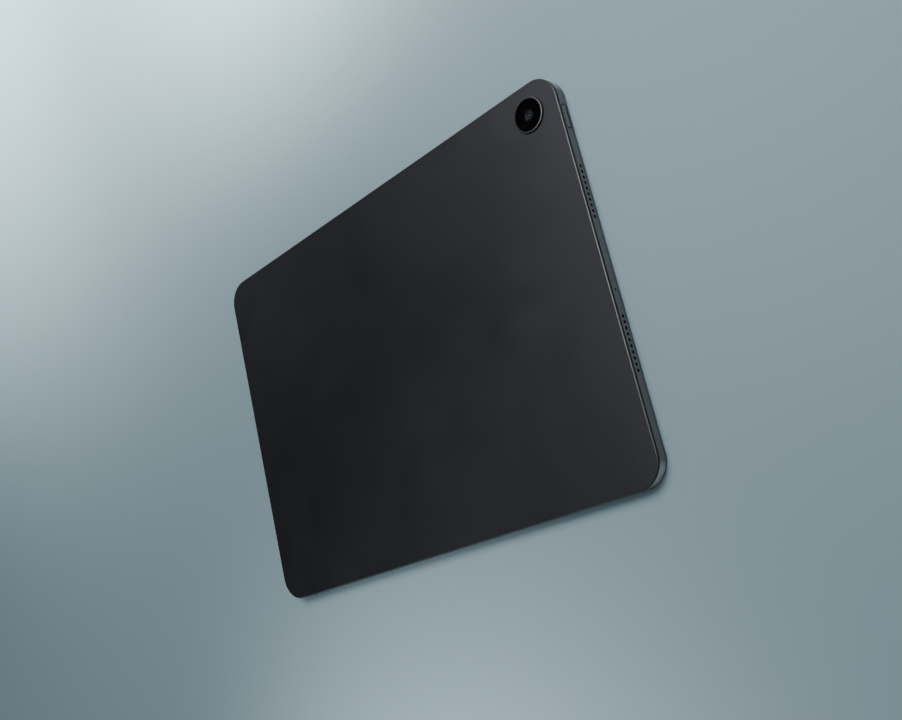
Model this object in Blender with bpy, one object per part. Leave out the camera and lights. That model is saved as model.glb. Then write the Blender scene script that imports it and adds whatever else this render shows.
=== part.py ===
"""Twelve-inch tablet computer, lying on its screen with its back up.

Metres, +Z up. The origin is the middle of the cover glass's outer face, which rests on the
surface. +X points to the short edge that holds the power button, and +Y to the long edge
that holds the volume rocker, on the rear camera's side.
"""

import math

import bmesh
import bpy
from mathutils import Matrix, Vector

MM = 0.001

# Driving dimensions of the whole tablet.
LENGTH = 266.0 * MM
WIDTH = 192.8 * MM
THICKNESS = 6.83 * MM
CORNER_RADIUS = 13.0 * MM
CORNER_STEPS = 12

# Clearances between neighbouring pieces.
GAP = 0.3 * MM
LAYER_GAP = 0.15 * MM
KEY_GAP = 0.40 * MM
SOCKET_GAP = 0.20 * MM
RING_GAP = 0.12 * MM

# Heights of the layers, from the screen up to the back.
GLASS_TOP = 0.65 * MM
RIM_BOTTOM = 0.80 * MM
GASKET_TOP = 1.00 * MM
LEDGE_BOTTOM = 1.15 * MM
LEDGE_TOP = 1.55 * MM
PANEL_TOP = 1.50 * MM
BACKLIGHT_TOP = 2.35 * MM
PLATE_BOTTOM = 2.50 * MM
PLATE_TOP = 2.90 * MM
FLEX_BOTTOM = 3.05 * MM
FLEX_TOP = 3.22 * MM
BOARD_BOTTOM = 3.40 * MM
BOARD_TOP = 4.10 * MM
PARTS_BOTTOM = 4.25 * MM
SHIELD_TOP = 5.50 * MM
FRAME_TOP = 5.45 * MM
COVER_BOTTOM = 5.98 * MM

# Edge profile.
WALL = 1.6 * MM
FRAME_EDGE = 0.05 * MM
FRAME_FOOT = 0.35 * MM
GLASS_SEAT = 1.1 * MM
LEDGE_REACH = 3.6 * MM
GASKET_OUT = 1.4 * MM
GASKET_IN = 3.2 * MM
SEAL_OUT = 0.12 * MM
SEAL_IN = 1.5 * MM
SEAL_GAP = 0.04 * MM
COVER_CHAMFER = 0.42 * MM
CHAMFER_DROP = 0.36 * MM
COVER_RIM_OUT = 1.9 * MM
COVER_RIM_IN = 2.9 * MM
COVER_RIM_BOTTOM = 5.0 * MM
COVER_LIP = 0.40 * MM

# Holes and keys along the edges, all on one line at mid height.
EDGE_Z = 3.25 * MM
SPEAKER_Y = 35.5 * MM
SPEAKER_HOLES = 10
SPEAKER_PITCH = 2.718 * MM
SPEAKER_HOLE_R = 0.7 * MM
HOLE_SIDES = 16
MIC_Y = -11.1 * MM
MIC_HOLE_R = 0.45 * MM

KEY_HEIGHT = 2.4 * MM
KEY_EDGE = 0.15 * MM
KEY_SHOULDER = WALL + 0.45 * MM
KEY_TAB = 1.4 * MM
KEY_TAB_DEPTH = 0.8 * MM
KEY_NUB_R = 0.6 * MM
KEY_NUB_LENGTH = 0.5 * MM
SWITCH_GAP = 0.4 * MM
POWER_Y = 72.75 * MM
POWER_LENGTH = 11.6 * MM
VOLUME_X = 92.0 * MM
VOLUME_LENGTH = 22.0 * MM
VOLUME_NUB = 7.5 * MM

# Charging socket in the middle of the far short edge.
SOCKET_LENGTH = 8.94 * MM
SOCKET_HEIGHT = 3.16 * MM
SOCKET_WALL = 0.3 * MM
SOCKET_DEPTH = 6.0 * MM

# Rear camera, in the corner between the power button and the volume rocker.
CAMERA_X = 116.05 * MM
CAMERA_Y = 81.55 * MM
CAMERA_RING_R = 8.5 * MM
CAMERA_GLASS_R = 7.5 * MM
CAMERA_RISE = 1.02 * MM
ROUND_STEPS = 48

# Screen stack.
PANEL_LENGTH = 254.0 * MM
PANEL_WIDTH = 180.0 * MM
BACKLIGHT_INSET = 0.5 * MM
FRONT_CAMERA_Y = 91.9 * MM
FRONT_CAMERA_R = 1.2 * MM
SIGHT_R = 1.7 * MM
SCREEN_CABLE_X = 83.0 * MM
SCREEN_CABLE_Y = -30.0 * MM
SCREEN_CABLE_WIDTH = 28.0 * MM
SCREEN_CABLE_REACH = 9.0 * MM
SCREEN_CABLE_FOLD = 0.2 * MM

# Things on the mid plate.
SCREW_HOLE_R = 0.9 * MM
CELL_TOP = 5.6 * MM
SPREADER_BOTTOM = 5.77 * MM
SPREADER_TOP = 5.88 * MM


# --- shaping tools -------------------------------------------------------------------------

def clear_scene():
    for thing in list(bpy.data.objects):
        bpy.data.objects.remove(thing, do_unlink=True)


def finish(name, colour, roughness, metallic=0.0):
    """A Principled material of one colour."""
    material = bpy.data.materials.new(name)
    material.use_nodes = True
    shader = material.node_tree.nodes["Principled BSDF"]
    shader.inputs["Base Color"].default_value = (*colour, 1.0)
    shader.inputs["Roughness"].default_value = roughness
    shader.inputs["Metallic"].default_value = metallic
    return material


def rounded(length, width, radius, steps=CORNER_STEPS):
    """Outline of a rounded rectangle about the origin, anticlockwise."""
    points = []
    signs = ((1, 1), (-1, 1), (-1, -1), (1, -1))
    for quarter, (sign_x, sign_y) in enumerate(signs):
        middle_x = sign_x * (length / 2 - radius)
        middle_y = sign_y * (width / 2 - radius)
        for step in range(steps + 1):
            angle = (quarter + step / steps) * math.pi / 2
            point = (middle_x + radius * math.cos(angle), middle_y + radius * math.sin(angle))
            if not points or math.dist(point, points[-1]) > 1e-7:
                points.append(point)
    if math.dist(points[0], points[-1]) < 1e-7:
        points.pop()
    return points


def circle(radius, steps=ROUND_STEPS):
    return [
        (radius * math.cos(turn * math.tau / steps), radius * math.sin(turn * math.tau / steps))
        for turn in range(steps)
    ]


def body_outline(inset):
    """The tablet's outline, brought in by inset on every side."""
    return rounded(LENGTH - 2 * inset, WIDTH - 2 * inset, CORNER_RADIUS - inset)


def skin(levels, ring=False):
    """A bmesh through outlines of equal count, each (points, height): capped, or closed as a ring."""
    bm = bmesh.new()
    loops = [[bm.verts.new((x, y, height)) for x, y in points] for points, height in levels]
    pairs = list(zip(loops, loops[1:]))
    if ring:
        pairs.append((loops[-1], loops[0]))
    else:
        bm.faces.new(loops[0])
        bm.faces.new(loops[-1])
    for lower, upper in pairs:
        for i in range(len(lower)):
            bm.faces.new((lower[i - 1], lower[i], upper[i], upper[i - 1]))
    bmesh.ops.recalc_face_normals(bm, faces=bm.faces)
    return bm


def place(name, bm, material=None, at=(0, 0, 0), facing=None):
    """Makes the object; facing turns its own +Z to that level direction, with +Y kept upright."""
    mesh = bpy.data.meshes.new(name)
    bm.to_mesh(mesh)
    bm.free()
    thing = bpy.data.objects.new(name, mesh)
    bpy.context.scene.collection.objects.link(thing)
    thing.location = at
    if facing is not None:
        outward = Vector(facing)
        upright = Vector((0, 0, 1))
        turn = Matrix((upright.cross(outward), upright, outward)).transposed()
        thing.rotation_euler = turn.to_euler()
    if material:
        mesh.materials.append(material)
        mesh.shade_smooth()
        mesh.set_sharp_from_angle(angle=math.radians(30))
    return thing


def slab(name, points, bottom, top, material, at=(0, 0, 0), facing=None):
    """An outline extruded between two heights."""
    return place(name, skin([(points, bottom), (points, top)]), material, at, facing)


def block(name, low, high, material, bevel=0.2 * MM):
    """A box between two corners, with a small bevel on its edges."""
    low = Vector(low)
    high = Vector(high)
    bm = bmesh.new()
    bmesh.ops.create_cube(bm, size=1.0)
    bmesh.ops.scale(bm, vec=high - low, verts=bm.verts)
    thing = place(name, bm, material, (low + high) / 2)
    if bevel:
        edge = thing.modifiers.new("edge", "BEVEL")
        edge.width = bevel
        edge.segments = 1
    return thing


def bores(name, centres, radius, length, facing, steps=HOLE_SIDES):
    """A cutter of one round bore at each centre, along facing."""
    bm = bmesh.new()
    turn = Vector(facing).to_track_quat("Z", "Y").to_matrix().to_4x4()
    for centre in centres:
        bmesh.ops.create_cone(
            bm, cap_ends=True, segments=steps, radius1=radius, radius2=radius,
            depth=length, matrix=Matrix.Translation(centre) @ turn,
        )
    return place(name, bm)


def cut(target, cutter):
    cutter.hide_render = True
    cutter.display_type = "WIRE"
    boolean = target.modifiers.new(f"cut_{cutter.name}", "BOOLEAN")
    boolean.operation = "DIFFERENCE"
    boolean.object = cutter


# --- casing --------------------------------------------------------------------------------

def make_rear_cover(metal):
    """Blasted aluminium plate: a polished chamfer above, a rounded lip and a locating rim below."""
    levels = [
        (body_outline(COVER_RIM_IN), COVER_BOTTOM),
        (body_outline(COVER_RIM_IN), COVER_RIM_BOTTOM),
        (body_outline(COVER_RIM_OUT), COVER_RIM_BOTTOM),
        (body_outline(COVER_RIM_OUT), COVER_BOTTOM),
        (body_outline(COVER_LIP), COVER_BOTTOM),
        (body_outline(0.3 * COVER_LIP), COVER_BOTTOM + 0.3 * COVER_LIP),
        (body_outline(0.0), COVER_BOTTOM + COVER_LIP),
        (body_outline(0.0), THICKNESS - CHAMFER_DROP),
        (body_outline(COVER_CHAMFER), THICKNESS),
    ]
    cover = place("rear_cover", skin(levels), metal)
    hole_at = (CAMERA_X, CAMERA_Y, THICKNESS)
    hole_r = CAMERA_RING_R + RING_GAP
    cut(cover, bores("camera_hole", [hole_at], hole_r, 4 * MM, (0, 0, 1), ROUND_STEPS))


def make_cover_seal(foam):
    """Black bonding foam in the groove between the back plate and the band."""
    levels = [
        (body_outline(SEAL_OUT), FRAME_TOP + SEAL_GAP),
        (body_outline(SEAL_IN), FRAME_TOP + SEAL_GAP),
        (body_outline(SEAL_IN), COVER_BOTTOM - SEAL_GAP),
        (body_outline(SEAL_OUT), COVER_BOTTOM - SEAL_GAP),
    ]
    place("cover_seal", skin(levels, ring=True), foam)


def make_side_frame(metal):
    """Extruded band with an inner ledge for the glass, bored for speakers, keys and socket."""
    levels = [
        (body_outline(FRAME_FOOT), RIM_BOTTOM),
        (body_outline(0.0), LEDGE_BOTTOM),
        (body_outline(0.0), FRAME_TOP - FRAME_EDGE),
        (body_outline(FRAME_EDGE), FRAME_TOP),
        (body_outline(WALL), FRAME_TOP),
        (body_outline(WALL), LEDGE_TOP),
        (body_outline(LEDGE_REACH), LEDGE_TOP),
        (body_outline(LEDGE_REACH), LEDGE_BOTTOM),
        (body_outline(GLASS_SEAT), LEDGE_BOTTOM),
        (body_outline(GLASS_SEAT), RIM_BOTTOM),
    ]
    frame = place("side_frame", skin(levels, ring=True), metal)
    half = (SPEAKER_HOLES - 1) / 2
    centres = [
        (end * LENGTH / 2, group * SPEAKER_Y + (hole - half) * SPEAKER_PITCH, EDGE_Z)
        for end in (1, -1)
        for group in (1, -1)
        for hole in range(SPEAKER_HOLES)
    ]
    through = 4 * WALL
    cut(frame, bores("speaker_bores", centres, SPEAKER_HOLE_R, through, (1, 0, 0)))
    mic = [(LENGTH / 2, MIC_Y, EDGE_Z)]
    cut(frame, bores("mic_bore", mic, MIC_HOLE_R, through, (1, 0, 0)))
    slots = (
        ("power_slot", POWER_LENGTH, KEY_HEIGHT, KEY_GAP, (LENGTH / 2, POWER_Y, EDGE_Z), (1, 0, 0)),
        ("volume_slot", VOLUME_LENGTH, KEY_HEIGHT, KEY_GAP, (VOLUME_X, WIDTH / 2, EDGE_Z), (0, 1, 0)),
        ("socket_slot", SOCKET_LENGTH, SOCKET_HEIGHT, SOCKET_GAP, (-LENGTH / 2, 0, EDGE_Z), (-1, 0, 0)),
    )
    for name, length, height, gap, at, facing in slots:
        tall = height + 2 * gap
        points = rounded(length + 2 * gap, tall, tall / 2, 6)
        cut(frame, slab(name, points, -2 * WALL, WALL, None, at, facing))
    sight = [(0, FRONT_CAMERA_Y, LEDGE_BOTTOM)]
    cut(frame, bores("front_camera_notch", sight, SIGHT_R, 3 * MM, (0, 0, 1)))


def make_cover_glass(glass):
    """Strengthened glass over the screen, its rim ground to a soft curve."""
    levels = [
        (body_outline(1.0 * MM), 0.0),
        (body_outline(0.62 * MM), 0.12 * MM),
        (body_outline(0.42 * MM), 0.35 * MM),
        (body_outline(0.40 * MM), GLASS_TOP),
    ]
    place("cover_glass", skin(levels), glass)


def make_screen(foam, glass, steel, plastic):
    """Adhesive gasket, LCD panel, backlight unit and the panel's flat cable."""
    levels = [
        (body_outline(GASKET_OUT), RIM_BOTTOM),
        (body_outline(GASKET_IN), RIM_BOTTOM),
        (body_outline(GASKET_IN), GASKET_TOP),
        (body_outline(GASKET_OUT), GASKET_TOP),
    ]
    place("display_gasket", skin(levels, ring=True), foam)
    panel = rounded(PANEL_LENGTH, PANEL_WIDTH, 8 * MM, 4)
    slab("lcd_panel", panel, RIM_BOTTOM, PANEL_TOP, glass)
    smaller = 2 * BACKLIGHT_INSET
    light = rounded(PANEL_LENGTH - smaller, PANEL_WIDTH - smaller, 7 * MM, 4)
    slab("backlight_unit", light, PANEL_TOP + LAYER_GAP, BACKLIGHT_TOP, steel)
    reach = SCREEN_CABLE_REACH
    fold = SCREEN_CABLE_FOLD
    start = BACKLIGHT_TOP + 0.1 * MM
    tall = FLEX_TOP - start
    profile = [(0, 0), (fold, 0), (fold, tall - fold), (reach, tall - fold), (reach, tall), (0, tall)]
    strip = skin([(profile, -SCREEN_CABLE_WIDTH / 2), (profile, SCREEN_CABLE_WIDTH / 2)])
    cable = place("display_flex", strip, plastic, (SCREEN_CABLE_X, SCREEN_CABLE_Y, start))
    cable.rotation_euler = (math.pi / 2, 0, 0)


# --- inner structure ------------------------------------------------------------------------

SCREWS = (
    (87.5, 70.0), (103.5, 70.0), (87.5, -69.0), (103.5, -69.0), (103.5, 2.0),
    (-127.5, 15.0), (-127.5, -15.0),
)


def screw_centres(height):
    return [(x * MM, y * MM, height) for x, y in SCREWS]


def make_mid_plate(metal):
    """Stamped plate behind the screen that carries the cells and the boards."""
    inset = WALL + 1.1 * MM
    plate = slab("mid_plate", body_outline(inset), PLATE_BOTTOM, PLATE_TOP, metal)
    notches = (
        ("power_notch", (126.5, 64.0), (134.0, 81.5)),
        ("volume_notch", (78.5, 89.6), (105.5, 97.0)),
        ("socket_notch", (-134.0, -5.4), (-124.8, 5.4)),
        ("display_slot", (82.4, -45.0), (83.8, -15.0)),
    )
    for name, low, high in notches:
        corner_low = (low[0] * MM, low[1] * MM, PLATE_BOTTOM - 1 * MM)
        corner_high = (high[0] * MM, high[1] * MM, PLATE_TOP + 1 * MM)
        cut(plate, block(name, corner_low, corner_high, None, bevel=0))
    cut(plate, bores("plate_screw_holes", screw_centres(PLATE_TOP), SCREW_HOLE_R, 3 * MM, (0, 0, 1)))
    sight = [(0, FRONT_CAMERA_Y, PLATE_TOP)]
    cut(plate, bores("plate_camera_hole", sight, SIGHT_R, 3 * MM, (0, 0, 1)))


def make_screws(steel):
    """Seven pan-head machine screws that hold the two boards to the mid plate."""
    shank = 0.6 * MM
    head = 1.3 * MM
    head_bottom = BOARD_TOP + LAYER_GAP
    levels = [
        (circle(shank, 12), PLATE_BOTTOM),
        (circle(shank, 12), head_bottom),
        (circle(head, 12), head_bottom),
        (circle(head, 12), head_bottom + 0.3 * MM),
        (circle(0.8 * MM, 12), head_bottom + 0.5 * MM),
    ]
    for number, (x, y) in enumerate(SCREWS, 1):
        place(f"board_screw_{number}", skin(levels), steel, (x * MM, y * MM, 0))


def make_battery(pouch, green, plastic):
    """Two flat lithium cells side by side, with their protection board and cable."""
    bottom = PLATE_TOP + LAYER_GAP
    spans = (("battery_cell_left", -105.4, -13.2), ("battery_cell_right", -12.2, 80.0))
    for name, start, end in spans:
        low = (start * MM, -77.0 * MM, bottom)
        high = (end * MM, 77.0 * MM, CELL_TOP)
        block(name, low, high, pouch, bevel=0.6 * MM)
    block(
        "battery_board", (20 * MM, 79 * MM, BOARD_BOTTOM), (80 * MM, 83.5 * MM, BOARD_TOP), green
    )
    flex_bottom = PARTS_BOTTOM + 0.65 * MM
    block(
        "battery_flex", (74 * MM, 79.5 * MM, flex_bottom), (90 * MM, 83 * MM, flex_bottom + 0.2 * MM),
        plastic, bevel=0,
    )


def make_main_board(green, steel, black, graphite):
    """Main circuit board with its shield cans, sockets and heat spreader."""
    low = (84.6 * MM, -72 * MM, BOARD_BOTTOM)
    high = (106 * MM, 88 * MM, BOARD_TOP)
    board = block("main_board", low, high, green)
    cut(board, bores("board_screw_holes", screw_centres(BOARD_TOP), SCREW_HOLE_R, 3 * MM, (0, 0, 1)))
    cans = (
        ("processor_shield", (86, 8), (104.5, 46)),
        ("power_shield", (86, 49), (104.5, 66)),
        ("radio_shield", (88, -66), (101, -48)),
    )
    for name, low, high in cans:
        block(
            name, (low[0] * MM, low[1] * MM, PARTS_BOTTOM), (high[0] * MM, high[1] * MM, SHIELD_TOP),
            steel,
        )
    sockets = (
        ("display_connector", (86, -42), (90, -18)),
        ("battery_connector", (86, 77.5), (90, 85)),
    )
    for name, low, high in sockets:
        block(
            name, (low[0] * MM, low[1] * MM, PARTS_BOTTOM),
            (high[0] * MM, high[1] * MM, PARTS_BOTTOM + 0.5 * MM), black,
        )
    block(
        "heat_spreader", (60 * MM, -46 * MM, SPREADER_BOTTOM), (106 * MM, 68 * MM, SPREADER_TOP),
        graphite, bevel=0,
    )


def make_socket_board(green, steel, black, plastic):
    """Charging socket on its small board, and the flat cable to the main board."""
    low = (-130 * MM, -18 * MM, BOARD_BOTTOM)
    high = (-107 * MM, 18 * MM, BOARD_TOP)
    board = block("usb_board", low, high, green)
    cut(board, bores("usb_screw_holes", screw_centres(BOARD_TOP), SCREW_HOLE_R, 3 * MM, (0, 0, 1)))
    socket_clear = block(
        "usb_board_notch", (-134 * MM, -4.9 * MM, BOARD_BOTTOM - 1 * MM),
        (-126 * MM, 4.9 * MM, BOARD_TOP + 1 * MM), None, bevel=0,
    )
    cut(board, socket_clear)

    mouth = (-LENGTH / 2 + 0.1 * MM, 0, EDGE_Z)
    outside = rounded(SOCKET_LENGTH, SOCKET_HEIGHT, SOCKET_HEIGHT / 2, 6)
    inner_height = SOCKET_HEIGHT - 2 * SOCKET_WALL
    inside = rounded(SOCKET_LENGTH - 2 * SOCKET_WALL, inner_height, inner_height / 2, 6)
    back_wall = 0.6 * MM
    shell = slab("usb_c_shell", outside, -SOCKET_DEPTH, 0, steel, mouth, (-1, 0, 0))
    hollow = slab("usb_hollow", inside, -SOCKET_DEPTH + back_wall, 1 * MM, None, mouth, (-1, 0, 0))
    cut(shell, hollow)
    tongue = rounded(6.6 * MM, 0.7 * MM, 0.2 * MM, 2)
    slab(
        "usb_c_tongue", tongue, -SOCKET_DEPTH + back_wall + 0.1 * MM, -0.9 * MM,
        black, mouth, (-1, 0, 0),
    )

    route = [
        (-111.0, -16.0), (-111.0, -88.0), (98.0, -88.0), (98.0, -60.0), (92.0, -60.0),
        (92.0, -80.5), (-106.6, -80.5), (-106.6, -16.0),
    ]
    outline = [(x * MM, y * MM) for x, y in route]
    slab("board_link_flex", outline, FLEX_BOTTOM, FLEX_TOP, plastic)


def make_antennas(plastic):
    """Aerial carriers along the long edge that has no keys."""
    for name, start, end in (("antenna_left", -78, -34), ("antenna_right", 34, 78)):
        low = (start * MM, -93.2 * MM, PLATE_TOP + LAYER_GAP)
        high = (end * MM, -89 * MM, 4.9 * MM)
        block(name, low, high, plastic)


# --- sound ----------------------------------------------------------------------------------

def make_speakers(plastic, mesh_metal):
    """Four speaker boxes, each behind its own row of holes and a strip of dust mesh."""
    span = SPEAKER_HOLES * SPEAKER_PITCH
    for side, end in (("right", 1), ("left", -1)):
        for place_name, group in (("upper", 1), ("lower", -1)):
            middle = group * SPEAKER_Y
            near = LENGTH / 2 - WALL - 1.1 * MM
            far = near - 19 * MM
            x_low, x_high = sorted((end * near, end * far))
            block(
                f"speaker_{side}_{place_name}",
                (x_low, middle - span / 2 - 1 * MM, PLATE_TOP + LAYER_GAP),
                (x_high, middle + span / 2 + 1 * MM, 4.95 * MM), plastic, bevel=0.5 * MM,
            )
            mesh_low, mesh_high = sorted((end * (near + GAP), end * (near + 0.8 * MM)))
            block(
                f"speaker_mesh_{side}_{place_name}",
                (mesh_low, middle - span / 2, 1.9 * MM),
                (mesh_high, middle + span / 2, 4.8 * MM), mesh_metal, bevel=0,
            )


def make_microphone(steel):
    """Bottom-port microphone can behind its own small hole."""
    low = (127.6 * MM, MIC_Y - 2 * MM, PLATE_TOP + LAYER_GAP)
    high = (130.9 * MM, MIC_Y + 2 * MM, 4.2 * MM)
    block("microphone", low, high, steel)


# --- cameras --------------------------------------------------------------------------------

def make_rear_camera(metal, glass, black, lens_glass, plastic):
    """Raised ring, cover lens, camera module with its lens, and the module's flat cable.

    The ring goes in from the inside, and its flange stays under the cover.
    """
    top = THICKNESS + CAMERA_RISE
    recess = CAMERA_GLASS_R + 0.1 * MM
    bore = 6.9 * MM
    flange = CAMERA_RING_R + 0.8 * MM
    flange_bottom = 5.3 * MM
    flange_top = COVER_BOTTOM - LAYER_GAP
    seat = THICKNESS + 0.4 * MM
    at = (CAMERA_X, CAMERA_Y, 0)
    ring = [
        (circle(CAMERA_RING_R), flange_top),
        (circle(CAMERA_RING_R), top - 0.25 * MM),
        (circle(CAMERA_RING_R - 0.2 * MM), top),
        (circle(recess + 0.15 * MM), top),
        (circle(recess), top - 0.15 * MM),
        (circle(recess), seat),
        (circle(bore), seat),
        (circle(bore), flange_bottom),
        (circle(flange), flange_bottom),
        (circle(flange), flange_top),
    ]
    place("camera_ring", skin(ring, ring=True), metal, at)
    window = [
        (circle(CAMERA_GLASS_R), seat + LAYER_GAP),
        (circle(CAMERA_GLASS_R), top - 0.12 * MM),
        (circle(CAMERA_GLASS_R - 0.1 * MM), top - 0.02 * MM),
    ]
    place("camera_glass", skin(window), glass, at)
    base = rounded(9.6 * MM, 9.6 * MM, 0.8 * MM, 12)
    barrel_top = THICKNESS + 0.05 * MM
    levels = [
        (base, BOARD_BOTTOM),
        (base, 5.4 * MM),
        (circle(4.2 * MM, len(base)), 5.4 * MM),
        (circle(4.2 * MM, len(base)), barrel_top),
        (circle(3.2 * MM, len(base)), barrel_top),
        (circle(2.8 * MM, len(base)), barrel_top - 0.6 * MM),
    ]
    place("rear_camera_module", skin(levels), black, at)
    lens = [
        (circle(2.5 * MM, 24), barrel_top - 0.4 * MM),
        (circle(2.5 * MM, 24), barrel_top - 0.25 * MM),
        (circle(1.8 * MM, 24), barrel_top - 0.1 * MM),
        (circle(0.8 * MM, 24), barrel_top - 0.02 * MM),
    ]
    place("rear_camera_lens", skin(lens), lens_glass, at)
    low = (97 * MM, CAMERA_Y - 3 * MM, FLEX_BOTTOM)
    high = (CAMERA_X + 3 * MM, CAMERA_Y + 3 * MM, FLEX_TOP)
    block("rear_camera_flex", low, high, plastic, bevel=0)


def make_front_camera(black):
    """Screen-side camera that looks out past the panel's edge, and the light sensor beside it."""
    levels = [
        (circle(FRONT_CAMERA_R, 20), RIM_BOTTOM),
        (circle(FRONT_CAMERA_R, 20), FLEX_BOTTOM),
        (circle(2 * FRONT_CAMERA_R, 20), FLEX_BOTTOM),
        (circle(2 * FRONT_CAMERA_R, 20), 4.6 * MM),
    ]
    place("front_camera", skin(levels), black, (0, FRONT_CAMERA_Y, 0))
    low = (10.5 * MM, 90.4 * MM, RIM_BOTTOM)
    high = (13.5 * MM, 92.3 * MM, GASKET_TOP)
    block("light_sensor", low, high, black, bevel=0)


# --- keys -----------------------------------------------------------------------------------

def key_levels(length, face, steps=4):
    """Cap and end tabs of an edge key, from its outer face inwards along -Z."""
    end_r = KEY_HEIGHT / 2 - 0.03 * MM
    cap = rounded(length, KEY_HEIGHT, end_r, steps)
    soft_height = KEY_HEIGHT - 2 * KEY_EDGE
    soft = rounded(length - 2 * KEY_EDGE, soft_height, end_r - KEY_EDGE, steps)
    tab = rounded(length + 2 * KEY_TAB, soft_height, 0.4 * MM, steps)
    shoulder = face - KEY_SHOULDER
    return [
        (soft, face),
        (cap, face - KEY_EDGE),
        (cap, shoulder),
        (tab, shoulder),
        (tab, shoulder - KEY_TAB_DEPTH),
    ]


def make_key(name, length, face, at, facing, nubs, metal):
    """A key milled from one bar: its cap, its retaining tabs, and the nubs that press the switches.

    Its origin lies on its joint's axis, with the outer face that far in front of it.
    """
    key = place(name, skin(key_levels(length, face)), metal, at, facing)
    back = face - KEY_SHOULDER - KEY_TAB_DEPTH
    for number, offset in enumerate(nubs, 1):
        root = key.matrix_basis @ Vector((offset, 0, 0))
        points = circle(KEY_NUB_R, 12)
        name = f"{key.name}_nub_{number}"
        nub = slab(name, points, back - KEY_NUB_LENGTH, back + 0.3 * MM, None, root, facing)
        nub.hide_render = True
        nub.display_type = "WIRE"
        union = key.modifiers.new(name, "BOOLEAN")
        union.operation = "UNION"
        union.object = nub


def make_keys(metal, steel, plastic):
    """Power button and volume rocker, the switches behind them, and the switches' cables."""
    switch_face = KEY_SHOULDER + KEY_TAB_DEPTH + KEY_NUB_LENGTH + SWITCH_GAP
    switch_depth = 1.0 * MM
    cable_face = switch_face + switch_depth + LAYER_GAP
    cable_depth = 0.2 * MM

    edge = LENGTH / 2
    make_key("power_button", POWER_LENGTH, 0.0, (edge, POWER_Y, EDGE_Z), (1, 0, 0), [0.0], metal)
    block(
        "power_switch",
        (edge - switch_face - switch_depth, POWER_Y - 2.4 * MM, EDGE_Z - 1.1 * MM),
        (edge - switch_face, POWER_Y + 2.4 * MM, EDGE_Z + 1.1 * MM), steel, bevel=0.15 * MM,
    )
    block(
        "power_flex",
        (edge - cable_face - cable_depth, POWER_Y - 7 * MM, EDGE_Z - 0.1 * MM),
        (edge - cable_face, POWER_Y + 7 * MM, EDGE_Z + 2 * MM), plastic, bevel=0,
    )

    edge = WIDTH / 2
    pivot = (VOLUME_X, edge - KEY_SHOULDER, EDGE_Z)
    nubs = [-VOLUME_NUB, VOLUME_NUB]
    make_key("volume_rocker", VOLUME_LENGTH, KEY_SHOULDER, pivot, (0, 1, 0), nubs, metal)
    for name, offset in (("volume_up_switch", VOLUME_NUB), ("volume_down_switch", -VOLUME_NUB)):
        middle = VOLUME_X + offset
        block(
            name,
            (middle - 2.2 * MM, edge - switch_face - switch_depth, EDGE_Z - 1.1 * MM),
            (middle + 2.2 * MM, edge - switch_face, EDGE_Z + 1.1 * MM), steel, bevel=0.15 * MM,
        )
    block(
        "volume_flex",
        (VOLUME_X - 12 * MM, edge - cable_face - cable_depth, EDGE_Z - 0.1 * MM),
        (VOLUME_X + 12 * MM, edge - cable_face, EDGE_Z + 2 * MM), plastic, bevel=0,
    )


def main():
    clear_scene()
    anodised = finish("anodised_graphite", (0.045, 0.048, 0.053), 0.42, 1.0)
    band = finish("anodised_band", (0.075, 0.079, 0.086), 0.38, 1.0)
    black_glass = finish("black_glass", (0.004, 0.004, 0.005), 0.05)
    foam = finish("black_foam", (0.012, 0.012, 0.012), 0.9)
    panel = finish("screen_panel", (0.010, 0.011, 0.013), 0.12)
    sheet_steel = finish("sheet_steel", (0.52, 0.53, 0.54), 0.35, 1.0)
    plate = finish("stamped_plate", (0.42, 0.43, 0.44), 0.45, 1.0)
    pouch = finish("cell_pouch", (0.16, 0.165, 0.17), 0.5, 0.6)
    green = finish("circuit_board", (0.012, 0.06, 0.035), 0.5)
    black = finish("black_moulding", (0.015, 0.015, 0.016), 0.55)
    amber = finish("flat_cable", (0.28, 0.13, 0.025), 0.45)
    graphite = finish("graphite_sheet", (0.03, 0.03, 0.032), 0.6)
    mesh_metal = finish("dust_mesh", (0.008, 0.008, 0.009), 0.8)
    ring = finish("camera_ring_metal", (0.11, 0.115, 0.12), 0.22, 1.0)
    lens_glass = finish("lens_glass", (0.02, 0.025, 0.035), 0.04)

    make_rear_cover(anodised)
    make_side_frame(band)
    make_cover_seal(foam)
    make_cover_glass(black_glass)
    make_screen(foam, panel, sheet_steel, amber)
    make_mid_plate(plate)
    make_screws(sheet_steel)
    make_battery(pouch, green, amber)
    make_main_board(green, sheet_steel, black, graphite)
    make_socket_board(green, sheet_steel, black, amber)
    make_antennas(black)
    make_speakers(black, mesh_metal)
    make_microphone(sheet_steel)
    make_rear_camera(ring, black_glass, black, lens_glass, amber)
    make_front_camera(black)
    make_keys(band, sheet_steel, amber)


main()
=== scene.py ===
"""Looks of a twelve-inch tablet computer, lying on its screen with its back up.

Metres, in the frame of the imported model. The sections follow the tablet as it is put
together, from the back plate and the band to the keys, the camera and the screen.
"""

import math

import bmesh
import bpy
from mathutils import Matrix, Vector


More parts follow.
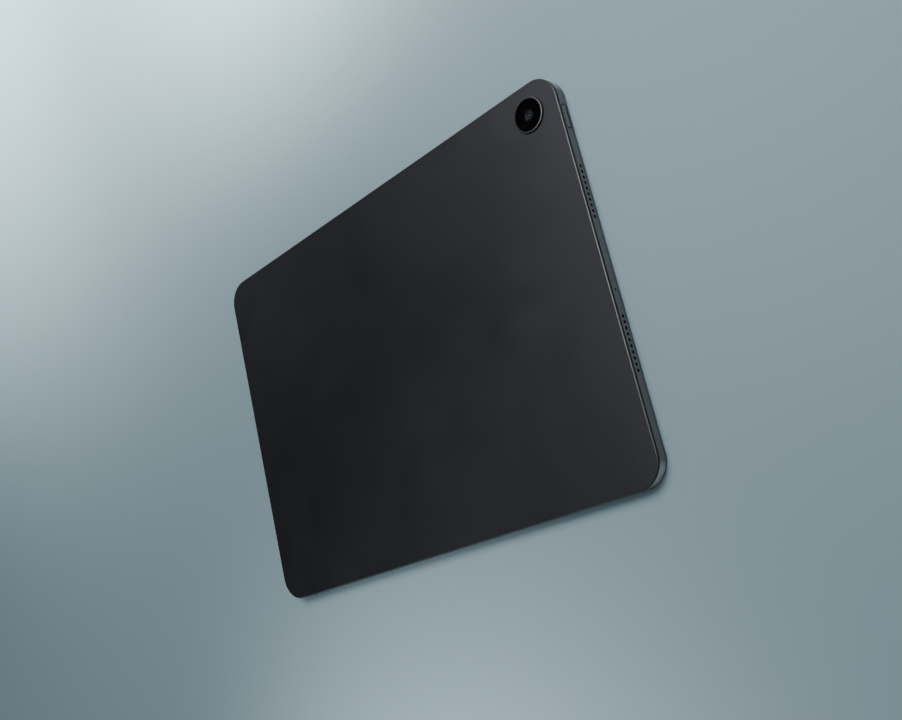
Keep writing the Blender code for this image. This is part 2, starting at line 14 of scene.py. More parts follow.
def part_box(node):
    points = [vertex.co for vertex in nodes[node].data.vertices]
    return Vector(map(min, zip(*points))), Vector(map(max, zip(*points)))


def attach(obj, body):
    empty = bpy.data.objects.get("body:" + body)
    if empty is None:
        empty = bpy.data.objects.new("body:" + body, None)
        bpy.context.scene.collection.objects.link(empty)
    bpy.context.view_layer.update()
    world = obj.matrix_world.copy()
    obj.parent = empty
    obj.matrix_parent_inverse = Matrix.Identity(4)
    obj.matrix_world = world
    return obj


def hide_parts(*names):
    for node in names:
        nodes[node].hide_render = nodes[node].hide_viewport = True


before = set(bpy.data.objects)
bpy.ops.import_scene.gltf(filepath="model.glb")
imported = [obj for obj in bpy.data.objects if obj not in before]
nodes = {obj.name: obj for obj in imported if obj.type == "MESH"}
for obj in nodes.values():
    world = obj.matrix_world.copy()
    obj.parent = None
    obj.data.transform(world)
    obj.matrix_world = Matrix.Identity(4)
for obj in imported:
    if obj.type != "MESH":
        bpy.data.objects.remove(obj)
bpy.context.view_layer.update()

# --- Camera ---------------------------------------------------------------------------------
# A camera above the short edge with the power button looks down across the back, rolled over
# so that this edge stands upright on the right of the view.
view_from = Vector((0.3711, -0.1349, 0.3725))
view_to = Vector((0.0273, -0.0059, 0.0))
roll = math.radians(-88.34)

camera = bpy.data.cameras.new("studio_camera")
camera.lens = 41.965
camera.sensor_width = 36.0
camera.clip_start = 0.01
camera_stand = bpy.data.objects.new("studio_camera", camera)
bpy.context.scene.collection.objects.link(camera_stand)
aimed = (view_to - view_from).to_track_quat("-Z", "Y").to_matrix()
turned = aimed @ Matrix.Rotation(roll, 3, "Z")
camera_stand.matrix_world = Matrix.Translation(view_from) @ turned.to_4x4()
bpy.context.scene.camera = camera_stand

# --- Back plate -----------------------------------------------------------------------------
# One aluminium sheet, milled, bead-blasted and dyed graphite. A cutter then runs a narrow
# chamfer round it, painted a lighter grey as a highlight, and the plate drops into the band
# on a locating rim.
MM = 0.001
plate_low, plate_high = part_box("rear_cover")
corner_radius = 13.0 * MM
back = plate_high.z
lip_bottom = 5.98 * MM
lip_round = 0.40 * MM
chamfer_width = 0.42 * MM
chamfer_drop = 0.36 * MM
chamfer_blend = 0.05 * MM
rim_outside = 1.9 * MM
rim_inside = 2.9 * MM


def rounded(half_x, half_y, radius, steps):
    """Outline of a rounded rectangle about the origin, anticlockwise, with arcs for corners."""
    points = []
    for quarter, (sign_x, sign_y) in enumerate(((1, 1), (-1, 1), (-1, -1), (1, -1))):
        middle = Vector((sign_x * (half_x - radius), sign_y * (half_y - radius)))
        for step in range(steps + 1):
            angle = (quarter + step / steps) * math.pi / 2
            points.append(middle + radius * Vector((math.cos(angle), math.sin(angle))))
    return points


def body_outline(inset, steps=28):
    """The tablet's outline, drawn in by the inset all round."""
    return rounded(plate_high.x - inset, plate_high.y - inset, corner_radius - inset, steps)


def circle(radius, steps=96):
    """Outline of a circle about the origin, anticlockwise."""
    turns = [turn * math.tau / steps for turn in range(steps)]
    return [Vector((radius * math.cos(turn), radius * math.sin(turn))) for turn in turns]


def skin(levels, ring=False):
    """A bmesh through outlines of equal count, each (points, height), capped or closed as a ring."""
    bm = bmesh.new()
    loops = [[bm.verts.new((x, y, height)) for x, y in points] for points, height in levels]
    pairs = list(zip(loops, loops[1:]))
    if ring:
        pairs.append((loops[-1], loops[0]))
    else:
        bm.faces.new(loops[0])
        bm.faces.new(loops[-1])
    for lower, upper in pairs:
        for i in range(len(lower)):
            bm.faces.new((lower[i - 1], lower[i], upper[i], upper[i - 1]))
    bmesh.ops.remove_doubles(bm, verts=bm.verts, dist=1e-7)
    bmesh.ops.recalc_face_normals(bm, faces=bm.faces)
    return bm


def piece(name, bm, material=None, at=(0, 0, 0), facing=None):
    """Makes the object. facing turns its own +Z to that level direction, with +Y kept upright."""
    mesh = bpy.data.meshes.new(name)
    bm.to_mesh(mesh)
    bm.free()
    place = Matrix.Translation(at)
    if facing:
        outward, upright = Vector(facing), Vector((0, 0, 1))
        turn = Matrix((upright.cross(outward), upright, outward)).transposed()
        place = place @ turn.to_4x4()
    mesh.transform(place)
    made = bpy.data.objects.new(name, mesh)
    bpy.context.scene.collection.objects.link(made)
    if material:
        mesh.materials.append(material)
    return made


def worked(target, tool, operation):
    """Cuts the tool out of the target, or joins it on, for good."""
    boolean = target.modifiers.new("work", "BOOLEAN")
    boolean.operation = operation
    boolean.object = tool
    graph = bpy.context.evaluated_depsgraph_get()
    solid = bpy.data.meshes.new_from_object(target.evaluated_get(graph))
    target.modifiers.clear()
    target.data = solid
    bpy.data.objects.remove(tool)


def shaded(target, crease=24):
    """Smooth shading, kept off the flat caps and off any edge sharper than the crease."""
    mesh = target.data
    mesh.shade_smooth()
    mesh.set_sharp_from_angle(angle=math.radians(crease))
    flats = {edge for face in mesh.polygons if len(face.vertices) > 4 for edge in face.edge_keys}
    for edge in mesh.edges:
        if edge.key in flats:
            edge.use_edge_sharp = True


def fill(tree, node, values):
    """Fills a node's inputs: one given as a socket is linked, and any other is set."""
    for name, value in values.items():
        if isinstance(value, bpy.types.NodeSocket):
            tree.links.new(value, node.inputs[name])
        else:
            node.inputs[name].default_value = value


def add(tree, kind, inputs=None, **settings):
    """Adds a node with its settings and inputs."""
    made = tree.nodes.new(kind)
    for name, value in settings.items():
        setattr(made, name, value)
    fill(tree, made, inputs or {})
    return made


def feed(tree, node, **sources):
    """Fills a shader's or a group's inputs by name, with _ for each space."""
    fill(tree, node, {name.replace("_", " "): source for name, source in sources.items()})


def spot(tree):
    """Where the surface is, in metres."""
    return add(tree, "ShaderNodeTexCoord").outputs["Object"]


def maths(tree, operation, *values):
    """The result of one sum."""
    return add(tree, "ShaderNodeMath", dict(enumerate(values)), operation=operation).outputs[0]


def ranged(tree, value, given=(0.0, 1.0), wanted=(0.0, 1.0), **settings):
    """The value carried over from one range to another."""
    ends = {"From Min": given[0], "From Max": given[1], "To Min": wanted[0], "To Max": wanted[1]}
    return add(tree, "ShaderNodeMapRange", {"Value": value, **ends}, **settings).outputs[0]


def between(tree, factor, first, second):
    """A colour between two others."""
    ends = {"Factor": factor, "A": first, "B": second}
    return add(tree, "ShaderNodeMix", ends, data_type="RGBA").outputs["Result"]


def noise(tree, scale, **inputs):
    """A noise over the surface, with that many cells to the metre."""
    made = add(tree, "ShaderNodeTexNoise", {"Vector": spot(tree), "Scale": scale, **inputs})
    return made.outputs["Fac"]


def bumped(tree, height, strength, distance, **settings):
    """A normal from a height over the surface."""
    inputs = {"Height": height, "Strength": strength, "Distance": distance}
    return add(tree, "ShaderNodeBump", inputs, **settings).outputs["Normal"]


def group(name, inputs, outputs):
    """An empty shader group with named sockets: its tree, its inputs and its output node."""
    tree = bpy.data.node_groups.new(name, "ShaderNodeTree")
    for socket, (kind, value) in inputs.items():
        made = tree.interface.new_socket(socket, in_out="INPUT", socket_type=kind)
        made.default_value = value
    for socket, kind in outputs.items():
        tree.interface.new_socket(socket, in_out="OUTPUT", socket_type=kind)
    return tree, tree.nodes.new("NodeGroupInput").outputs, tree.nodes.new("NodeGroupOutput")


def use(tree, name, **values):
    """Places a shader group with its own values, and gives its outputs."""
    made = tree.nodes.new("ShaderNodeGroup")
    made.node_tree = bpy.data.node_groups[name]
    feed(tree, made, **values)
    return made.outputs


def finish(name, **constants):
    """A material with a Principled shader: the material, its tree and the shader."""
    material = bpy.data.materials.new(name)
    material.use_nodes = True
    tree = material.node_tree
    shader = tree.nodes["Principled BSDF"]
    feed(tree, shader, **constants)
    return material, tree, shader


COLOUR, FLOAT = "NodeSocketColor", "NodeSocketFloat"
grey = (0.05, 0.05, 0.05, 1)

# Blasted grain: the tiny overlapping dents of the bead blast, with slow drifts in the dye.
# The grain's size is in millimetres.
tree, given, result = group(
    "blasted grain",
    {
        "Dye": (COLOUR, grey),
        "Dye Drift": (FLOAT, 0.06),
        "Gloss": (FLOAT, 0.4),
        "Gloss Drift": (FLOAT, 0.04),
        "Grain Size": (FLOAT, 0.12),
    },
    {"Colour": COLOUR, "Roughness": FLOAT, "Height": FLOAT},
)
middle_range, both_ways = (0.3, 0.7), (-1.0, 1.0)
fleck_share = 0.6
per_metre = maths(tree, "DIVIDE", 1000.0, given["Grain Size"])
dents = add(tree, "ShaderNodeTexVoronoi", {"Vector": spot(tree), "Scale": per_metre})
drift = ranged(tree, noise(tree, 9.0, Detail=3.0), middle_range, both_ways)
fleck = ranged(tree, noise(tree, per_metre, Detail=2.0, Roughness=0.6), middle_range, both_ways)
both = maths(tree, "MULTIPLY_ADD", fleck, fleck_share, drift)
share = maths(tree, "MULTIPLY_ADD", both, given["Dye Drift"], 1.0)
dyed = add(tree, "ShaderNodeVectorMath", {0: given["Dye"], "Scale": share}, operation="SCALE")
gloss = maths(tree, "MULTIPLY_ADD", both, given["Gloss Drift"], given["Gloss"])
feed(tree, result, Colour=dyed.outputs[0], Roughness=gloss, Height=dents.outputs["Distance"])

# Handling: faint rubbed patches and a few specks of dust that settle on any upward surface.
tree, given, result = group(
    "handling",
    {
        "Colour": (COLOUR, grey),
        "Roughness": (FLOAT, 0.4),
        "Dust": (FLOAT, 0.5),
        "Rub": (FLOAT, 0.05),
    },
    {"Colour": COLOUR, "Roughness": FLOAT},
)
specks_per_metre = 400.0
speck_edge = (0.02, 0.045)
bare_cells = 0.97
dust_colour = (0.35, 0.35, 0.34, 1)
dust_roughness = 0.3
cells = add(tree, "ShaderNodeTexVoronoi", {"Vector": spot(tree), "Scale": specks_per_metre})
speck = ranged(tree, cells.outputs["Distance"], speck_edge, (1.0, 0.0))
chance = add(tree, "ShaderNodeSeparateColor", {"Color": cells.outputs["Color"]})
rare = maths(tree, "GREATER_THAN", chance.outputs["Red"], bare_cells)
facing = add(tree, "ShaderNodeNewGeometry").outputs["Normal"]
level = add(tree, "ShaderNodeSeparateXYZ", {0: facing}).outputs["Z"]
upward = maths(tree, "MAXIMUM", level, 0.0)
lying = maths(tree, "MULTIPLY", maths(tree, "MULTIPLY", speck, rare), upward)
dust = maths(tree, "MULTIPLY", lying, given["Dust"])
patches = noise(tree, 22.0, Detail=4.0, Distortion=1.2)
rubbed = ranged(tree, patches, (0.45, 0.75), (0.0, -1.0))
smoother = maths(tree, "MULTIPLY_ADD", rubbed, given["Rub"], given["Roughness"])
duller = maths(tree, "MULTIPLY_ADD", dust, dust_roughness, smoother)
feed(
    tree, result, Colour=between(tree, dust, given["Colour"], dust_colour), Roughness=duller
)


def blasted(name, dye, gloss, depth, dust, metallic=1.0, grain_size=0.12):
    """Blasted and anodised aluminium."""
    material, tree, shader = finish(name, Metallic=metallic)
    grain = use(tree, "blasted grain", Dye=(*dye, 1), Gloss=gloss, Grain_Size=grain_size)
    touch = use(
        tree, "handling", Dust=dust, Rub=0.05, Colour=grain["Colour"], Roughness=grain["Roughness"]
    )
    feed(
        tree, shader, Base_Color=touch["Colour"], Roughness=touch["Roughness"],
        Normal=bumped(tree, grain["Height"], depth, 0.02 * MM),
    )
    return material


back_metal = blasted("back_metal", (0.074, 0.075, 0.086), 0.47, 0.25, 0.35)
chamfer_highlight = blasted("chamfer_highlight", (0.19, 0.197, 0.208), 0.32, 0.05, 0.0)

lip = [
    (body_outline(lip_round * (1 - math.sin(turn))), lip_bottom + lip_round * (1 - math.cos(turn)))
    for turn in (math.radians(angle) for angle in (0, 30, 60, 90))
]
levels = [
    (body_outline(rim_inside), lip_bottom),
    (body_outline(rim_inside), plate_low.z),
    (body_outline(rim_outside), plate_low.z),
    (body_outline(rim_outside), lip_bottom),
    *lip,
    (body_outline(0.0), back - chamfer_drop),
    (body_outline(chamfer_width - chamfer_blend), back - chamfer_blend / 2),
    (body_outline(chamfer_width + chamfer_blend / 2), back),
]
rear_plate = piece("back_plate", skin(levels), back_metal)
ring_low, ring_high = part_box("camera_ring")
camera_at = (ring_low + ring_high) / 2
camera_spot = (camera_at.x, camera_at.y, 0)
ring_radius = 8.5 * MM
ring_gap = 0.12 * MM
hole = circle(ring_radius + ring_gap)
drill = skin([(hole, 0.0), (hole, 10.0 * MM)])
worked(rear_plate, piece("drill", drill, None, camera_spot), "DIFFERENCE")
rear_plate.data.materials.append(chamfer_highlight)
# The chamfer's sloped faces take the lighter grey: a painted highlight along the plate's edge.
upright, level = 0.3, 0.97
for face in rear_plate.data.polygons:
    sloped = upright < face.normal.z < level
    face.material_index = int(sloped and face.center.z > back - chamfer_drop)
shaded(rear_plate)
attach(rear_plate, "tablet")
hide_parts("rear_cover")

# --- Band -----------------------------------------------------------------------------------
# The frame round the edge is machined from extruded aluminium, blasted fine and dyed a shade
# lighter than the back. The mouth of every hole in it is broken with a small chamfer.
band_low, band_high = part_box("side_frame")
band_edge = 0.04 * MM
wall = 1.6 * MM
ledge_reach = 3.6 * MM
ledge_low = 1.15 * MM
ledge_high = 1.55 * MM
inner_lip = 1.1 * MM
foot_rounding = ((0.25, 0.0), (0.10, 0.06), (0.02, 0.16), (0.0, 0.30))
hole_axis = 3.25 * MM
hole_radius = 0.7 * MM
hole_steps = 28
hole_pitch = 2.718 * MM
holes_in_row = 10
row_middle = 35.5 * MM
mic_at = -11.1 * MM
mic_radius = 0.45 * MM
mouth_break = 0.09 * MM
key_gap = 0.40 * MM
socket_gap = 0.2 * MM
cut_depth = 3.0 * MM
cut_clear = 1.0 * MM


def along_axis(tree, axis):
    """Where the surface is along one axis."""
    return add(tree, "ShaderNodeSeparateXYZ", {0: spot(tree)}).outputs[axis]


# Rubbed line: the fine lighter line where an edge is handled, broken up along its length.
tree, given, result = group(
    "rubbed line",
    {
        "Colour": (COLOUR, grey),
        "Bare": (COLOUR, (0.4, 0.4, 0.4, 1)),
        "Low": (FLOAT, 0.0),
        "High": (FLOAT, 1.0),
        "Width": (FLOAT, 0.0002),
        "Strength": (FLOAT, 0.4),
    },
    {"Colour": COLOUR},
)
height = along_axis(tree, "Z")
above = maths(tree, "SUBTRACT", height, given["Low"])
below = maths(tree, "SUBTRACT", given["High"], height)
reach = maths(tree, "DIVIDE", maths(tree, "MINIMUM", above, below), given["Width"])
line = ranged(tree, reach, (0.0, 1.0), (1.0, 0.0), interpolation_type="SMOOTHSTEP")
paling = ranged(tree, noise(tree, 220.0, Detail=3.0), (0.4, 0.65))
bare = maths(tree, "MULTIPLY", maths(tree, "MULTIPLY", line, paling), given["Strength"])
feed(tree, result, Colour=between(tree, bare, given["Colour"], given["Bare"]))


def opened(material):
    """A material's tree and shader, and the socket that gives its colour so far."""
    tree = material.node_tree
    shader = tree.nodes["Principled BSDF"]
    return tree, shader, shader.inputs["Base Color"].links[0].from_socket


def edged(name, dye, gloss, low, high, strength):
    """Anodised metal of the edge: the blasted finish, with rubbed lines at its two edges."""
    material = blasted(name, dye, gloss, 0.15, 0.0, grain_size=0.08)
    tree, shader, dyed = opened(material)
    rub = use(
        tree, "rubbed line", Colour=dyed, Bare=(0.34, 0.35, 0.36, 1), Low=low, High=high,
        Width=0.2 * MM, Strength=strength,
    )
    feed(tree, shader, Base_Color=rub["Colour"])
    return material


band_metal = edged(
    "band_metal", (0.245, 0.205, 0.206), 0.42, band_low.z, band_high.z + 0.1 * MM, 0.10
)

# The four corners are dyed paler: a painted sheen for the light the rounded corners catch.
corner_tip = plate_high.x + plate_high.y - (2 - math.sqrt(2)) * corner_radius
corner_reach = 3.2 * MM
corner_sheen = 0.8
sheen_dye = (0.80, 0.66, 0.66, 1)
tree, shader, dyed = opened(band_metal)
size_x, size_y = (maths(tree, "ABSOLUTE", along_axis(tree, axis)) for axis in "XY")
paling = ranged(
    tree, maths(tree, "ADD", size_x, size_y), (corner_tip - corner_reach, corner_tip),
    (0.0, corner_sheen), interpolation_type="SMOOTHSTEP",
)
feed(tree, shader, Base_Color=between(tree, paling, dyed, sheen_dye))

# A near-black copy of the metal: painted shade for the insides of the openings and keys.
painted_shade_metal = blasted("painted_shade_metal", (0.004, 0.004, 0.004), 0.7, 0.2, 0.0)

levels = [
    *((body_outline(inset * MM), band_low.z + rise * MM) for inset, rise in foot_rounding),
    (body_outline(0.0), band_high.z - band_edge),
    (body_outline(band_edge), band_high.z),
    (body_outline(wall), band_high.z),
    (body_outline(wall), ledge_high),
    (body_outline(ledge_reach), ledge_high),
    (body_outline(ledge_reach), ledge_low),
    (body_outline(inner_lip), ledge_low),
    (body_outline(inner_lip), band_low.z),
]
band = piece("edge_band", skin(levels, ring=True), band_metal)


def mouth_cutter(points_at, facing, at):
    """A cutter for one opening: straight inside, with its mouth broken at the outer face."""
    levels = [
        (points_at(0.0), -cut_depth),
        (points_at(0.0), -mouth_break),
        (points_at(mouth_break), 0.0),
        (points_at(mouth_break), cut_clear),
    ]
    return piece("mouth", skin(levels), None, at, facing)


openings = []
for end in (1, -1):
    for side in (1, -1):
        for number in range(holes_in_row):
            along = side * row_middle + (number - (holes_in_row - 1) / 2) * hole_pitch
            openings.append(mouth_cutter(
                lambda grow: circle(hole_radius + grow, hole_steps), (end, 0, 0),
                (end * plate_high.x, along, hole_axis),
            ))
openings.append(mouth_cutter(
    lambda grow: circle(mic_radius + grow, hole_steps), (1, 0, 0),
    (plate_high.x, mic_at, hole_axis),
))
cutters = bmesh.new()
for opening in openings:
    cutters.from_mesh(opening.data)
    bpy.data.objects.remove(opening)
worked(band, piece("cutters", cutters), "DIFFERENCE")


def pill(length, height, grow=0.0, steps=14):
    """A slot's outline: a rectangle with full round ends, grown by that much all round."""
    return rounded(length / 2 + grow, height / 2 + grow, height / 2 + grow - 1e-6, steps)


key_height = 2.4 * MM
power_length = 11.6 * MM
volume_length = 22.0 * MM
power_low, power_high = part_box("power_button")
volume_low, volume_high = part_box("volume_rocker")
power_at = (plate_high.x, (power_low.y + power_high.y) / 2, hole_axis)
volume_at = ((volume_low.x + volume_high.x) / 2, plate_high.y, hole_axis)
socket_at = (-plate_high.x, 0.0, hole_axis)
socket_length, socket_height = 8.94 * MM, 3.16 * MM
slots = (
    (power_length, key_height, key_gap, power_at, (1, 0, 0)),
    (volume_length, key_height, key_gap, volume_at, (0, 1, 0)),
    (socket_length, socket_height, socket_gap, socket_at, (-1, 0, 0)),
)
for length, height, gap, at, facing in slots:
    slot_cutter = mouth_cutter(lambda grow: pill(length, height, gap + grow), facing, at)
    worked(band, slot_cutter, "DIFFERENCE")

# The walls of every opening take painted shade, a near-black copy of the metal: their faces
# don't look outward, and lie between the outer skin and the band's inner wall, at the
# openings' own height.
opening_reach = 1.9 * MM
outward = 0.8
skin_depth = mouth_break / 3
inner_depth = wall - 0.02 * MM
band.data.materials.append(painted_shade_metal)
for face in band.data.polygons:
    depth_x = plate_high.x - abs(face.center.x)
    depth_y = plate_high.y - abs(face.center.y)
    depth = min(depth_x, depth_y)
    along = abs(face.normal.x) if depth_x < depth_y else abs(face.normal.y)
    in_wall = skin_depth < depth < inner_depth and abs(face.center.z - hole_axis) < opening_reach
    if in_wall and along < outward:
        face.material_index = 1
shaded(band)
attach(band, "tablet")
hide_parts("side_frame")

# --- Cover seal -----------------------------------------------------------------------------
# A frame of black bonding foam, die-cut from sheet, holds the back plate to the band and
# shows as the dark line between the two.
seal_low, seal_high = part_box("cover_seal")
seal_outside = plate_high.x - seal_high.x
seal_inside = 1.5 * MM
foam, tree, shader = finish("gasket_foam", Specular_IOR_Level=0.2)
pores = add(tree, "ShaderNodeTexVoronoi", {"Vector": spot(tree), "Scale": 4000.0})
pore = pores.outputs["Distance"]
feed(
    tree, shader, Roughness=ranged(tree, pore, (0.0, 1.0), (0.98, 0.8)),
    Base_Color=between(tree, pore, (0.002, 0.002, 0.002, 1), (0.012, 0.012, 0.012, 1)),
)
levels = [
    (body_outline(seal_outside), seal_low.z),
    (body_outline(seal_inside), seal_low.z),
    (body_outline(seal_inside), seal_high.z),
    (body_outline(seal_outside), seal_high.z),
]
seal = piece("cover_seal_foam", skin(levels, ring=True), foam)
shaded(seal)
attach(seal, "tablet")
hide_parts("cover_seal")

# --- Keys -----------------------------------------------------------------------------------
# The power button and the volume rocker are milled from bar, dyed with the band, and held
# from inside by a tab at each end. Round nubs on their backs press the switches.
key_metal = edged(
    "key_metal", (0.262, 0.224, 0.226), 0.38,
    hole_axis - key_height / 2, hole_axis + key_height / 2, 0.25,
)
key_rolling = 0.16 * MM
tab_reach = 1.4 * MM
tab_depth = 0.8 * MM
tab_trim = 0.15 * MM
tab_corner = 0.4 * MM
shoulder = wall + 0.45 * MM
nub_radius = 0.6 * MM
nub_length = 0.5 * MM
nub_overlap = 0.2 * MM
nub_tip, nub_taper = 0.7, 0.6
nub_steps = 24
cap_overlap = 0.1 * MM


def key(name, length, at, facing, nubs):
    """A key's cap with a soft rolled edge, its end tabs and its nubs."""
    rolled = [
        (pill(length, key_height, key_rolling * (math.cos(turn) - 1)),
         key_rolling * (math.sin(turn) - 1))
        for turn in (math.radians(angle) for angle in (0, 22, 45, 68, 90))
    ]
    cap = [(pill(length, key_height), -shoulder - cap_overlap), *rolled]
    made = piece(name, skin(cap), key_metal, at, facing)
    inner = -shoulder - tab_depth
    tab = rounded(length / 2 + tab_reach, key_height / 2 - tab_trim, tab_corner, 14)
    extras = [piece("tab", skin([(tab, inner), (tab, -shoulder)]), None, at, facing)]
    for offset in nubs:
        nub = skin([
            (circle(nub_radius * nub_tip, nub_steps), inner - nub_length),
            (circle(nub_radius, nub_steps), inner - nub_length * nub_taper),
            (circle(nub_radius, nub_steps), inner + nub_overlap),
        ])
        bmesh.ops.translate(nub, vec=(offset, 0, 0), verts=nub.verts)
        extras.append(piece("nub", nub, None, at, facing))
    for extra in extras:
        worked(made, extra, "UNION")
    # Everything behind the rolled edge, sunk in the band, takes the painted shade of the gap.
    made.data.materials.append(painted_shade_metal)
    for face in made.data.polygons:
        behind = Vector(facing).dot(Vector(at) - face.center)
        if behind > key_rolling / 2:
            face.material_index = 1
    shaded(made, 30)
    return made


power_cap = key("power_cap", power_length, power_at, (1, 0, 0), [0.0])
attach(power_cap, "power_key")
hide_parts("power_button")
nub_offset = 7.5 * MM
volume_cap = key("volume_cap", volume_length, volume_at, (0, 1, 0), [-nub_offset, nub_offset])
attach(volume_cap, "volume_key")
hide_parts("volume_rocker")

# --- Rear camera ----------------------------------------------------------------------------
# A turned aluminium ring stands proud of the back and holds a black-printed cover lens. Only
# a small clear window in the print shows the barrel and the front element below it.
ring_top = ring_high.z
ring_bottom = ring_low.z
glass_low, glass_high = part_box("camera_glass")
glass_radius = glass_high.x - camera_at.x
seat = back + 0.4 * MM
recess = glass_radius + 0.1 * MM
recess_break = 0.16 * MM
flange = ring_radius + 0.8 * MM
bore = 6.9 * MM
flange_top = lip_bottom - 0.15 * MM
ring_rounding = ((0.0, 0.30), (0.03, 0.17), (0.13, 0.05), (0.28, 0.0))

# Turning marks: the fine concentric tracks of the lathe tool about the camera's axis.
VECTOR = "NodeSocketVector"
tree, given, result = group(
    "turning marks", {"Middle": (VECTOR, (0, 0, 0)), "Pitch": (FLOAT, 0.05)}, {"Height": FLOAT}
)
from_axis = add(
    tree, "ShaderNodeVectorMath", {0: spot(tree), 1: given["Middle"]}, operation="SUBTRACT"
)
flat = add(
    tree, "ShaderNodeVectorMath", {0: from_axis.outputs[0], 1: (1.0, 1.0, 0.0)},
    operation="MULTIPLY",
)
radius = add(tree, "ShaderNodeVectorMath", {0: flat.outputs[0]}, operation="LENGTH")
tracks = maths(tree, "DIVIDE", radius.outputs["Value"], given["Pitch"])
feed(tree, result, Height=maths(tree, "SINE", tracks))


def turned_metal(name, dye, gloss):
    """Anodised aluminium straight from the lathe."""
    material = blasted(name, dye, gloss, 0.1, 0.0, grain_size=0.08)
    tree, shader, *_ = opened(material)
    marks = use(tree, "turning marks", Middle=camera_spot, Pitch=0.01 * MM)
    feed(tree, shader, Normal=bumped(tree, marks["Height"], 0.12, 0.01 * MM))
    return material


ring_metal = turned_metal("ring_metal", (0.060, 0.062, 0.067), 0.34)
# A lighter copy of the same metal: a painted highlight for the ring's rim.
ring_painted_highlight = turned_metal("ring_painted_highlight", (0.125, 0.127, 0.132), 0.40)
levels = [
    (circle(ring_radius), flange_top),
    *((circle(ring_radius - inset * MM), ring_top - drop * MM) for inset, drop in ring_rounding),
    (circle(recess + recess_break), ring_top),
    (circle(recess), ring_top - recess_break),
    (circle(recess), seat),
    (circle(bore), seat),
    (circle(bore), ring_bottom),
    (circle(flange), ring_bottom),
    (circle(flange), flange_top),
]
ring = piece("camera_ring_turned", skin(levels, ring=True), ring_metal, camera_spot)
# The ring's flat top outside the recess takes the lighter copy: a painted highlight.
ring.data.materials.append(ring_painted_highlight)
for face in ring.data.polygons:
    out = Vector((face.center.x - camera_at.x, face.center.y - camera_at.y, 0))
    face.material_index = int(face.center.z > ring_top - 0.04 * MM and out.length > recess)
shaded(ring)
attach(ring, "tablet")
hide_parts("camera_ring")


def surfaced(name, effect, constants, **values):
    """A material whose colour and roughness both come from one shader group."""
    material, tree, shader = finish(name, **constants)
    surface = use(tree, effect, **values)
    feed(tree, shader, Base_Color=surface["Colour"], Roughness=surface["Roughness"])
    return material, tree, shader, surface


# Ink: the dead black baked on the inner face and the rim of the cover lens.
ink, *_ = surfaced(
    "lens_ink", "blasted grain", {"Specular_IOR_Level": 0.02},
    Dye=(0.0003, 0.0003, 0.0004, 1), Gloss=0.5, Dye_Drift=0.1,
)

# Cover lens: a polished glass disc with an anti-reflection coat, which a low index stands for.
lens_cover_glass, *_ = surfaced(
    "lens_cover_glass", "handling",
    {"Transmission_Weight": 1.0, "IOR": 1.13, "Specular_IOR_Level": 0.05},
    Colour=(0.97, 0.98, 1.0, 1), Roughness=0.02, Dust=0.0, Rub=0.01,
)
under_rim = ((0.05, 0.10), (0.0, 0.15))
upper_rim = ((0.0, 0.11), (0.04, 0.03), (0.12, 0.0))
levels = [
    *((circle(glass_radius - inset * MM), glass_low.z + rise * MM) for inset, rise in under_rim),
    *((circle(glass_radius - inset * MM), glass_high.z - drop * MM) for inset, drop in upper_rim),
]
cover_lens = piece("camera_cover_lens", skin(levels), lens_cover_glass, camera_spot)
cover_lens.data.materials.append(ink)
for face in cover_lens.data.polygons:
    face.material_index = int(abs(face.normal.z) < 0.5)
shaded(cover_lens)
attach(cover_lens, "tablet")
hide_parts("camera_glass")

# Print: the ink ring on the lens's inner face, round its clear window.
window_radius = 3.0 * MM
print_radius = glass_radius - 0.08 * MM
print_top = glass_low.z + 0.05 * MM
levels = [
    (circle(window_radius), glass_low.z),
    (circle(print_radius), glass_low.z),
    (circle(print_radius), print_top),
    (circle(window_radius), print_top),
]
lens_print = piece("camera_lens_print", skin(levels, ring=True), ink, camera_spot)
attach(lens_print, "tablet")

# Barrel and front element: stepped black rings that kill stray light, round a coated lens.
module_low, module_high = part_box("rear_camera_module")
black_barrel, *_ = surfaced(
    "black_barrel", "blasted grain", {"Specular_IOR_Level": 0.4},
    Dye=(0.014, 0.014, 0.015, 1), Gloss=0.45, Grain_Size=0.06,
)
barrel_top = module_high.z
base_top = 5.4 * MM
base_half = module_high.x - camera_at.x
base = rounded(base_half, base_half, 0.8 * MM, 17)
barrel_steps = ((4.2, 0.1), (4.1, 0.0), (3.3, 0.0), (3.2, 0.15), (2.95, 0.15), (2.85, 0.6))
levels = [(base, module_low.z), (base, base_top), (circle(4.2 * MM, len(base)), base_top)]
levels += [
    (circle(radius * MM, len(base)), barrel_top - drop * MM) for radius, drop in barrel_steps
]
barrel = piece("camera_barrel", skin(levels), black_barrel, camera_spot)
shaded(barrel)
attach(barrel, "tablet")
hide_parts("rear_camera_module")

retainer_metal = turned_metal("retainer_metal", (0.06, 0.061, 0.066), 0.6)
lens_low, lens_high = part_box("rear_camera_lens")
lens_radius = lens_high.x - camera_at.x
ring_outside, ring_inside = 2.35 * MM, 1.5 * MM
crown_width = 0.12 * MM
outer_edge, crown, inner_edge = (lens_low.z + rise * MM for rise in (0.14, 0.30, 0.12))
levels = [
    (circle(ring_inside), lens_low.z),
    (circle(lens_radius), lens_low.z),
    (circle(lens_radius), outer_edge),
    (circle(ring_outside), crown),
    (circle(ring_outside - crown_width), crown),
    (circle(ring_inside), inner_edge),
]
retainer = piece("camera_lens_retainer", skin(levels, ring=True), retainer_metal, camera_spot)
shaded(retainer)
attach(retainer, "tablet")

